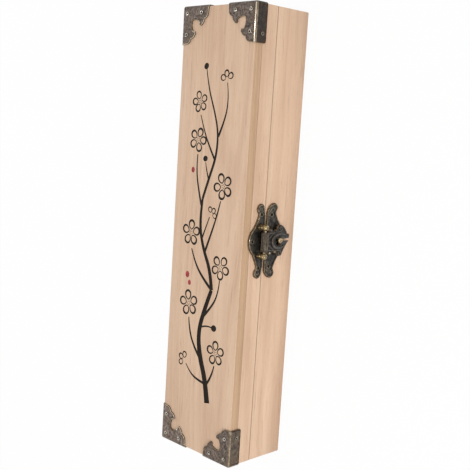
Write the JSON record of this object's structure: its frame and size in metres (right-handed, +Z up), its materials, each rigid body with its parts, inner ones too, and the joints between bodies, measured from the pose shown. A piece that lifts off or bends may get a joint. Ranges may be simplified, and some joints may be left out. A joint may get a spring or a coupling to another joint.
{
  "type": "wooden brush case",
  "caption": "Long flat wooden case for brushes with a hinged lid, pressed metal corner brackets and a hasp.",
  "frame": {"origin": "centre of the flat underside", "axes": "+X along the case to the right as seen from the hasp side, -Y out of the hasp side, +Z up out of the lid"},
  "size_m": [0.313, 0.0806, 0.0514],
  "materials": {
    "lid_wood": "bare sanded, dark engraved lines",
    "wood": "bare sanded",
    "bracket_bronze": "antique bronze plating",
    "hasp_bronze": "dark antique bronze, rubbed edges",
    "nail_bronze": "antique bronze plating",
    "pin_steel": "dull",
    "post_brass": "rubbed brass"
  },
  "bodies": {
    "base": {"base_front_board": "wood", "base_back_board": "wood", "base_left_end": "wood", "base_right_end": "wood", "base_floor": "wood", "catch_plate": "hasp_bronze", "catch_post": "post_brass", "catch_nails": "nail_bronze", "hinge_left_base_leaf": "hasp_bronze", "hinge_right_base_leaf": "hasp_bronze", "hinge_left_pin": "pin_steel", "hinge_right_pin": "pin_steel", "hinge_base_nails": "nail_bronze"},
    "lid": {"lid_top_board": "lid_wood", "lid_front_rail": "wood", "lid_back_rail": "wood", "lid_left_end": "wood", "lid_right_end": "wood", "corner_front_left": "bracket_bronze", "corner_front_right": "bracket_bronze", "corner_back_left": "bracket_bronze", "corner_back_right": "bracket_bronze", "corner_nails": "nail_bronze", "hasp_lid_plate": "hasp_bronze", "hasp_pin": "pin_steel", "hasp_nails": "nail_bronze", "hinge_left_lid_leaf": "hasp_bronze", "hinge_right_lid_leaf": "hasp_bronze", "hinge_lid_nails": "nail_bronze"},
    "hasp": {"hasp_arm": "hasp_bronze"}
  },
  "joints": [
    {"name": "lid_hinge", "type": "hinge", "parent": "base", "child": "lid", "pos_m": [0, 0.0369, 0.03], "axis": [-1, 0, 0], "range_deg": [0, 180]},
    {"name": "hasp_swing", "type": "hinge", "parent": "lid", "child": "hasp", "pos_m": [0, -0.0398, 0.0336], "axis": [-1, 0, 0], "range_deg": [0, 165]}
  ]
}
